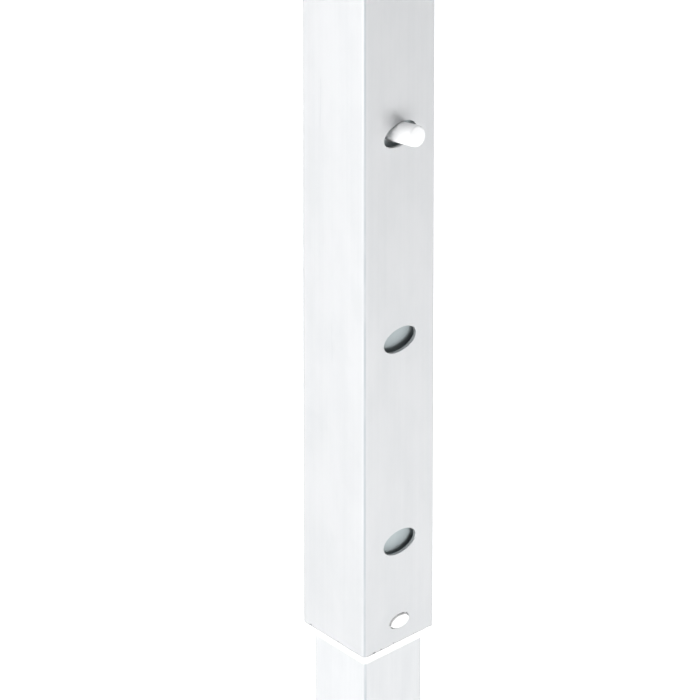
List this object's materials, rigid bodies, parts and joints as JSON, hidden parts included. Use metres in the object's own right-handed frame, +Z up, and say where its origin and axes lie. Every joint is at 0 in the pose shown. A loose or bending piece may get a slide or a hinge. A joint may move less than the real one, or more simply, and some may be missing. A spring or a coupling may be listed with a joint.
{
  "type": "pop up canopy",
  "caption": "Square pop up shelter with telescoping legs, a folding scissor truss, a sliding centre pole and a pitched fabric roof with a valance.",
  "frame": {"origin": "centre of the four legs' footprint, on the ground", "axes": "+Z up, +X and +Y square to the sides; leg A stands at +X -Y"},
  "size_m": [3.09, 3.09, 3.2697],
  "materials": {
    "outer_tube": "satin extruded tube with fine lengthwise die lines",
    "inner_tube": "satin extruded tube with sliding marks",
    "scissor_bar": "satin",
    "black_nylon": "moulded, fine texture",
    "white_nylon": "moulded, smooth",
    "lock_button": "moulded, satin",
    "spring_steel": "zinc plated",
    "canopy_fabric": "coated polyester, plain weave"
  },
  "bodies": {
    "leg_a_upper": {"leg_a_outer_tube": "outer_tube", "leg_a_top_bracket": "black_nylon", "leg_a_bushing": "white_nylon"},
    "leg_a_slider": {"leg_a_slider": "black_nylon"},
    "leg_a_lock_button": {"leg_a_lock_button": "lock_button"},
    "leg_a_lower": {"leg_a_inner_tube": "inner_tube", "leg_a_foot": "black_nylon", "leg_a_button_spring": "spring_steel"},
    "leg_a_snap_button": {"leg_a_snap_button": "spring_steel"},
    "leg_d_upper": {"leg_d_upper": "outer_tube"},
    "leg_d_slider": {"leg_d_slider": "black_nylon"},
    "leg_d_lower": {"leg_d_lower": "inner_tube"},
    "leg_d_snap_button": {"leg_d_snap_button": "spring_steel"},
    "leg_c_upper": {"leg_c_upper": "outer_tube"},
    "leg_c_slider": {"leg_c_slider": "black_nylon"},
    "leg_c_lower": {"leg_c_lower": "inner_tube"},
    "leg_c_snap_button": {"leg_c_snap_button": "spring_steel"},
    "leg_b_upper": {"leg_b_upper": "outer_tube"},
    "leg_b_slider": {"leg_b_slider": "black_nylon"},
    "leg_b_lower": {"leg_b_lower": "inner_tube"},
    "leg_b_snap_button": {"leg_b_snap_button": "spring_steel"},
    "right_near_falling_bar": {"right_near_falling_bar": "scissor_bar"},
    "right_near_rising_bar": {"right_near_rising_bar": "scissor_bar"},
    "right_far_falling_bar": {"right_far_falling_bar": "scissor_bar"},
    "right_far_rising_bar": {"right_far_rising_bar": "scissor_bar"},
    "right_arm_falling_bar": {"right_arm_falling_bar": "scissor_bar"},
    "right_arm_rising_bar": {"right_arm_rising_bar": "scissor_bar"},
    "right_upper_connector": {"right_upper_connector": "black_nylon"},
    "right_lower_connector": {"right_lower_connector": "black_nylon"},
    "canopy_right": {"canopy_right": "canopy_fabric"},
    "back_near_falling_bar": {"back_near_falling_bar": "scissor_bar"},
    "back_near_rising_bar": {"back_near_rising_bar": "scissor_bar"},
    "back_far_falling_bar": {"back_far_falling_bar": "scissor_bar"},
    "back_far_rising_bar": {"back_far_rising_bar": "scissor_bar"},
    "back_arm_falling_bar": {"back_arm_falling_bar": "scissor_bar"},
    "back_arm_rising_bar": {"back_arm_rising_bar": "scissor_bar"},
    "back_upper_connector": {"back_upper_connector": "black_nylon"},
    "back_lower_connector": {"back_lower_connector": "black_nylon"},
    "canopy_back": {"canopy_back": "canopy_fabric"},
    "left_near_falling_bar": {"left_near_falling_bar": "scissor_bar"},
    "left_near_rising_bar": {"left_near_rising_bar": "scissor_bar"},
    "left_far_falling_bar": {"left_far_falling_bar": "scissor_bar"},
    "left_far_rising_bar": {"left_far_rising_bar": "scissor_bar"},
    "left_arm_falling_bar": {"left_arm_falling_bar": "scissor_bar"},
    "left_arm_rising_bar": {"left_arm_rising_bar": "scissor_bar"},
    "left_upper_connector": {"left_upper_connector": "black_nylon"},
    "left_lower_connector": {"left_lower_connector": "black_nylon"},
    "canopy_left": {"canopy_left": "canopy_fabric"},
    "front_near_falling_bar": {"front_near_falling_bar": "scissor_bar"},
    "front_near_rising_bar": {"front_near_rising_bar": "scissor_bar"},
    "front_far_falling_bar": {"front_far_falling_bar": "scissor_bar"},
    "front_far_rising_bar": {"front_far_rising_bar": "scissor_bar"},
    "front_arm_falling_bar": {"front_arm_falling_bar": "scissor_bar"},
    "front_arm_rising_bar": {"front_arm_rising_bar": "scissor_bar"},
    "front_upper_connector": {"front_upper_connector": "black_nylon"},
    "front_lower_connector": {"front_lower_connector": "black_nylon"},
    "canopy_front": {"canopy_front": "canopy_fabric"},
    "hub_upper": {"hub_upper": "black_nylon"},
    "hub_lower": {"hub_lower": "black_nylon", "centre_pole": "outer_tube"}
  },
  "joints": [
    {"name": "frame_fold", "type": "hinge", "parent": "leg_a_upper", "child": "right_near_falling_bar", "pos_m": [1.5, -1.46, 2.1], "axis": [-1, 0, 0], "range_deg": [0, 70]},
    {"name": "right_near_scissor_pivot", "type": "hinge", "parent": "right_near_falling_bar", "child": "right_near_rising_bar", "pos_m": [1.5, -0.75, 1.90976], "axis": [-1, 0, 0], "range_deg": [-140, 0]},
    {"name": "right_upper_connector_pivot", "type": "hinge", "parent": "right_near_rising_bar", "child": "right_upper_connector", "pos_m": [1.5, -0.04, 2.1], "axis": [-1, 0, 0], "range_deg": [0, 70]},
    {"name": "leg_a_slider_pivot", "type": "hinge", "parent": "right_near_rising_bar", "child": "leg_a_slider", "pos_m": [1.5, -1.46, 1.71951], "axis": [-1, 0, 0], "range_deg": [0, 70]},
    {"name": "right_lower_connector_pivot", "type": "hinge", "parent": "right_near_falling_bar", "child": "right_lower_connector", "pos_m": [1.5, -0.04, 1.71951], "axis": [-1, 0, 0], "range_deg": [-70, 0]},
    {"name": "right_arm_falling_bar_pivot", "type": "hinge", "parent": "right_upper_connector", "child": "right_arm_falling_bar", "pos_m": [1.46, 0, 2.1], "axis": [0, -1, 0], "range_deg": [0, 70]},
    {"name": "right_arm_scissor_pivot", "type": "hinge", "parent": "right_arm_falling_bar", "child": "right_arm_rising_bar", "pos_m": [0.75, 0, 1.90976], "axis": [0, -1, 0], "range_deg": [-140, 0]},
    {"name": "hub_upper_pivot", "type": "hinge", "parent": "right_arm_rising_bar", "child": "hub_upper", "pos_m": [0.04, 0, 2.1], "axis": [0, -1, 0], "range_deg": [0, 70]},
    {"name": "hub_lower_pivot", "type": "hinge", "parent": "right_arm_falling_bar", "child": "hub_lower", "pos_m": [0.04, 0, 1.71951], "axis": [0, -1, 0], "range_deg": [-70, 0]},
    {"name": "back_arm_rising_bar_pivot", "type": "hinge", "parent": "hub_upper", "child": "back_arm_rising_bar", "pos_m": [0, 0.04, 2.1], "axis": [1, 0, 0], "range_deg": [-70, 0]},
    {"name": "back_arm_scissor_pivot", "type": "hinge", "parent": "back_arm_rising_bar", "child": "back_arm_falling_bar", "pos_m": [0, 0.75, 1.90976], "axis": [1, 0, 0], "range_deg": [0, 140]},
    {"name": "back_upper_connector_pivot", "type": "hinge", "parent": "back_arm_falling_bar", "child": "back_upper_connector", "pos_m": [0, 1.46, 2.1], "axis": [1, 0, 0], "range_deg": [-70, 0]},
    {"name": "back_lower_connector_pivot", "type": "hinge", "parent": "back_arm_rising_bar", "child": "back_lower_connector", "pos_m": [0, 1.46, 1.71951], "axis": [1, 0, 0], "range_deg": [0, 70]},
    {"name": "left_arm_rising_bar_pivot", "type": "hinge", "parent": "hub_upper", "child": "left_arm_rising_bar", "pos_m": [-0.04, 0, 2.1], "axis": [0, 1, 0], "range_deg": [-70, 0]},
    {"name": "left_arm_scissor_pivot", "type": "hinge", "parent": "left_arm_rising_bar", "child": "left_arm_falling_bar", "pos_m": [-0.75, 0, 1.90976], "axis": [0, 1, 0], "range_deg": [0, 140]},
    {"name": "left_upper_connector_pivot", "type": "hinge", "parent": "left_arm_falling_bar", "child": "left_upper_connector", "pos_m": [-1.46, 0, 2.1], "axis": [0, 1, 0], "range_deg": [-70, 0]},
    {"name": "left_lower_connector_pivot", "type": "hinge", "parent": "left_arm_rising_bar", "child": "left_lower_connector", "pos_m": [-1.46, 0, 1.71951], "axis": [0, 1, 0], "range_deg": [0, 70]},
    {"name": "front_arm_rising_bar_pivot", "type": "hinge", "parent": "hub_upper", "child": "front_arm_rising_bar", "pos_m": [0, -0.04, 2.1], "axis": [-1, 0, 0], "range_deg": [-70, 0]},
    {"name": "front_arm_scissor_pivot", "type": "hinge", "parent": "front_arm_rising_bar", "child": "front_arm_falling_bar", "pos_m": [0, -0.75, 1.90976], "axis": [-1, 0, 0], "range_deg": [0, 140]},
    {"name": "front_upper_connector_pivot", "type": "hinge", "parent": "front_arm_falling_bar", "child": "front_upper_connector", "pos_m": [0, -1.46, 2.1], "axis": [-1, 0, 0], "range_deg": [-70, 0]},
    {"name": "front_lower_connector_pivot", "type": "hinge", "parent": "front_arm_rising_bar", "child": "front_lower_connector", "pos_m": [0, -1.46, 1.71951], "axis": [-1, 0, 0], "range_deg": [0, 70]},
    {"name": "back_near_rising_bar_pivot", "type": "hinge", "parent": "back_upper_connector", "child": "back_near_rising_bar", "pos_m": [0.04, 1.5, 2.1], "axis": [0, -1, 0], "range_deg": [-70, 0]},
    {"name": "back_near_scissor_pivot", "type": "hinge", "parent": "back_near_rising_bar", "child": "back_near_falling_bar", "pos_m": [0.75, 1.5, 1.90976], "axis": [0, -1, 0], "range_deg": [0, 140]},
    {"name": "leg_d_upper_pivot", "type": "hinge", "parent": "back_near_falling_bar", "child": "leg_d_upper", "pos_m": [1.46, 1.5, 2.1], "axis": [0, -1, 0], "range_deg": [-70, 0]},
    {"name": "leg_d_slider_pivot", "type": "hinge", "parent": "back_near_rising_bar", "child": "leg_d_slider", "pos_m": [1.46, 1.5, 1.71951], "axis": [0, -1, 0], "range_deg": [0, 70]},
    {"name": "left_near_rising_bar_pivot", "type": "hinge", "parent": "left_upper_connector", "child": "left_near_rising_bar", "pos_m": [-1.5, 0.04, 2.1], "axis": [1, 0, 0], "range_deg": [-70, 0]},
    {"name": "left_near_scissor_pivot", "type": "hinge", "parent": "left_near_rising_bar", "child": "left_near_falling_bar", "pos_m": [-1.5, 0.75, 1.90976], "axis": [1, 0, 0], "range_deg": [0, 140]},
    {"name": "leg_c_upper_pivot", "type": "hinge", "parent": "left_near_falling_bar", "child": "leg_c_upper", "pos_m": [-1.5, 1.46, 2.1], "axis": [1, 0, 0], "range_deg": [-70, 0]},
    {"name": "leg_c_slider_pivot", "type": "hinge", "parent": "left_near_rising_bar", "child": "leg_c_slider", "pos_m": [-1.5, 1.46, 1.71951], "axis": [1, 0, 0], "range_deg": [0, 70]},
    {"name": "front_near_rising_bar_pivot", "type": "hinge", "parent": "front_upper_connector", "child": "front_near_rising_bar", "pos_m": [-0.04, -1.5, 2.1], "axis": [0, 1, 0], "range_deg": [-70, 0]},
    {"name": "front_near_scissor_pivot", "type": "hinge", "parent": "front_near_rising_bar", "child": "front_near_falling_bar", "pos_m": [-0.75, -1.5, 1.90976], "axis": [0, 1, 0], "range_deg": [0, 140]},
    {"name": "leg_b_upper_pivot", "type": "hinge", "parent": "front_near_falling_bar", "child": "leg_b_upper", "pos_m": [-1.46, -1.5, 2.1], "axis": [0, 1, 0], "range_deg": [-70, 0]},
    {"name": "leg_b_slider_pivot", "type": "hinge", "parent": "front_near_rising_bar", "child": "leg_b_slider", "pos_m": [-1.46, -1.5, 1.71951], "axis": [0, 1, 0], "range_deg": [0, 70]},
    {"name": "right_far_falling_bar_pivot", "type": "hinge", "parent": "right_upper_connector", "child": "right_far_falling_bar", "pos_m": [1.5, 0.04, 2.1], "axis": [-1, 0, 0], "range_deg": [0, 70]},
    {"name": "right_far_scissor_pivot", "type": "hinge", "parent": "right_far_falling_bar", "child": "right_far_rising_bar", "pos_m": [1.5, 0.75, 1.90976], "axis": [-1, 0, 0], "range_deg": [-140, 0]},
    {"name": "back_far_falling_bar_pivot", "type": "hinge", "parent": "back_upper_connector", "child": "back_far_falling_bar", "pos_m": [-0.04, 1.5, 2.1], "axis": [0, -1, 0], "range_deg": [0, 70]},
    {"name": "back_far_scissor_pivot", "type": "hinge", "parent": "back_far_falling_bar", "child": "back_far_rising_bar", "pos_m": [-0.75, 1.5, 1.90976], "axis": [0, -1, 0], "range_deg": [-140, 0]},
    {"name": "left_far_falling_bar_pivot", "type": "hinge", "parent": "left_upper_connector", "child": "left_far_falling_bar", "pos_m": [-1.5, -0.04, 2.1], "axis": [1, 0, 0], "range_deg": [0, 70]},
    {"name": "left_far_scissor_pivot", "type": "hinge", "parent": "left_far_falling_bar", "child": "left_far_rising_bar", "pos_m": [-1.5, -0.75, 1.90976], "axis": [1, 0, 0], "range_deg": [-140, 0]},
    {"name": "front_far_falling_bar_pivot", "type": "hinge", "parent": "front_upper_connector", "child": "front_far_falling_bar", "pos_m": [0.04, -1.5, 2.1], "axis": [0, 1, 0], "range_deg": [0, 70]},
    {"name": "front_far_scissor_pivot", "type": "hinge", "parent": "front_far_falling_bar", "child": "front_far_rising_bar", "pos_m": [0.75, -1.5, 1.90976], "axis": [0, 1, 0], "range_deg": [-140, 0]},
    {"name": "canopy_right_fold", "type": "hinge", "parent": "hub_lower", "child": "canopy_right", "pos_m": [0, 0, 3.27], "axis": [0, 1, 0], "range_deg": [0, 49], "deforming": ["canopy_right"]},
    {"name": "canopy_back_fold", "type": "hinge", "parent": "hub_lower", "child": "canopy_back", "pos_m": [0, 0, 3.27], "axis": [-1, 0, 0], "range_deg": [0, 49], "deforming": ["canopy_back"]},
    {"name": "canopy_left_fold", "type": "hinge", "parent": "hub_lower", "child": "canopy_left", "pos_m": [0, 0, 3.27], "axis": [0, -1, 0], "range_deg": [0, 49], "deforming": ["canopy_left"]},
    {"name": "canopy_front_fold", "type": "hinge", "parent": "hub_lower", "child": "canopy_front", "pos_m": [0, 0, 3.27], "axis": [1, 0, 0], "range_deg": [0, 49], "deforming": ["canopy_front"]},
    {"name": "leg_a_height", "type": "slide", "parent": "leg_a_lower", "child": "leg_a_upper", "axis": [0, 0, 1], "range_m": [-0.5334, 0.1524], "deforming": ["leg_a_snap_button"]},
    {"name": "leg_a_snap_button_press", "type": "slide", "parent": "leg_a_lower", "child": "leg_a_snap_button", "axis": [1, 0, 0], "range_m": [-0.0082, 0], "stiffness_N_per_m": 1500, "springref_m": 0.004, "deforming": ["leg_a_button_spring"]},
    {"name": "leg_d_height", "type": "slide", "parent": "leg_d_upper", "child": "leg_d_lower", "axis": [0, 0, -1], "range_m": [-0.5334, 0.1524], "deforming": ["leg_d_snap_button"]},
    {"name": "leg_d_snap_button_press", "type": "slide", "parent": "leg_d_lower", "child": "leg_d_snap_button", "axis": [0, 1, 0], "range_m": [-0.0082, 0], "stiffness_N_per_m": 1500, "springref_m": 0.004},
    {"name": "leg_c_height", "type": "slide", "parent": "leg_c_upper", "child": "leg_c_lower", "axis": [0, 0, -1], "range_m": [-0.5334, 0.1524], "deforming": ["leg_c_snap_button"]},
    {"name": "leg_c_snap_button_press", "type": "slide", "parent": "leg_c_lower", "child": "leg_c_snap_button", "axis": [-1, 0, 0], "range_m": [-0.0082, 0], "stiffness_N_per_m": 1500, "springref_m": 0.004},
    {"name": "leg_b_height", "type": "slide", "parent": "leg_b_upper", "child": "leg_b_lower", "axis": [0, 0, -1], "range_m": [-0.5334, 0.1524], "deforming": ["leg_b_snap_button"]},
    {"name": "leg_b_snap_button_press", "type": "slide", "parent": "leg_b_lower", "child": "leg_b_snap_button", "axis": [0, -1, 0], "range_m": [-0.0082, 0], "stiffness_N_per_m": 1500, "springref_m": 0.004},
    {"name": "leg_a_lock_button_press", "type": "slide", "parent": "leg_a_slider", "child": "leg_a_lock_button", "axis": [0, -1, 0], "range_m": [-0.0035, 0], "stiffness_N_per_m": 1200, "springref_m": 0.004}
  ],
  "couplings": [
    {"joint": "right_near_scissor_pivot", "follows": "frame_fold", "ratio": -2},
    {"joint": "right_upper_connector_pivot", "follows": "frame_fold", "ratio": 1},
    {"joint": "leg_a_slider_pivot", "follows": "frame_fold", "ratio": 1},
    {"joint": "right_lower_connector_pivot", "follows": "frame_fold", "ratio": -1},
    {"joint": "right_arm_falling_bar_pivot", "follows": "frame_fold", "ratio": 1},
    {"joint": "right_arm_scissor_pivot", "follows": "frame_fold", "ratio": -2},
    {"joint": "hub_upper_pivot", "follows": "frame_fold", "ratio": 1},
    {"joint": "hub_lower_pivot", "follows": "frame_fold", "ratio": -1},
    {"joint": "back_arm_rising_bar_pivot", "follows": "frame_fold", "ratio": -1},
    {"joint": "back_arm_scissor_pivot", "follows": "frame_fold", "ratio": 2},
    {"joint": "back_upper_connector_pivot", "follows": "frame_fold", "ratio": -1},
    {"joint": "back_lower_connector_pivot", "follows": "frame_fold", "ratio": 1},
    {"joint": "left_arm_rising_bar_pivot", "follows": "frame_fold", "ratio": -1},
    {"joint": "left_arm_scissor_pivot", "follows": "frame_fold", "ratio": 2},
    {"joint": "left_upper_connector_pivot", "follows": "frame_fold", "ratio": -1},
    {"joint": "left_lower_connector_pivot", "follows": "frame_fold", "ratio": 1},
    {"joint": "front_arm_rising_bar_pivot", "follows": "frame_fold", "ratio": -1},
    {"joint": "front_arm_scissor_pivot", "follows": "frame_fold", "ratio": 2},
    {"joint": "front_upper_connector_pivot", "follows": "frame_fold", "ratio": -1},
    {"joint": "front_lower_connector_pivot", "follows": "frame_fold", "ratio": 1},
    {"joint": "back_near_rising_bar_pivot", "follows": "frame_fold", "ratio": -1},
    {"joint": "back_near_scissor_pivot", "follows": "frame_fold", "ratio": 2},
    {"joint": "leg_d_upper_pivot", "follows": "frame_fold", "ratio": -1},
    {"joint": "leg_d_slider_pivot", "follows": "frame_fold", "ratio": 1},
    {"joint": "left_near_rising_bar_pivot", "follows": "frame_fold", "ratio": -1},
    {"joint": "left_near_scissor_pivot", "follows": "frame_fold", "ratio": 2},
    {"joint": "leg_c_upper_pivot", "follows": "frame_fold", "ratio": -1},
    {"joint": "leg_c_slider_pivot", "follows": "frame_fold", "ratio": 1},
    {"joint": "front_near_rising_bar_pivot", "follows": "frame_fold", "ratio": -1},
    {"joint": "front_near_scissor_pivot", "follows": "frame_fold", "ratio": 2},
    {"joint": "leg_b_upper_pivot", "follows": "frame_fold", "ratio": -1},
    {"joint": "leg_b_slider_pivot", "follows": "frame_fold", "ratio": 1},
    {"joint": "right_far_falling_bar_pivot", "follows": "frame_fold", "ratio": 1},
    {"joint": "right_far_scissor_pivot", "follows": "frame_fold", "ratio": -2},
    {"joint": "back_far_falling_bar_pivot", "follows": "frame_fold", "ratio": 1},
    {"joint": "back_far_scissor_pivot", "follows": "frame_fold", "ratio": -2},
    {"joint": "left_far_falling_bar_pivot", "follows": "frame_fold", "ratio": 1},
    {"joint": "left_far_scissor_pivot", "follows": "frame_fold", "ratio": -2},
    {"joint": "front_far_falling_bar_pivot", "follows": "frame_fold", "ratio": 1},
    {"joint": "front_far_scissor_pivot", "follows": "frame_fold", "ratio": -2},
    {"joint": "canopy_right_fold", "follows": "frame_fold", "ratio": 0.7},
    {"joint": "canopy_back_fold", "follows": "frame_fold", "ratio": 0.7},
    {"joint": "canopy_left_fold", "follows": "frame_fold", "ratio": 0.7},
    {"joint": "canopy_front_fold", "follows": "frame_fold", "ratio": 0.7}
  ]
}
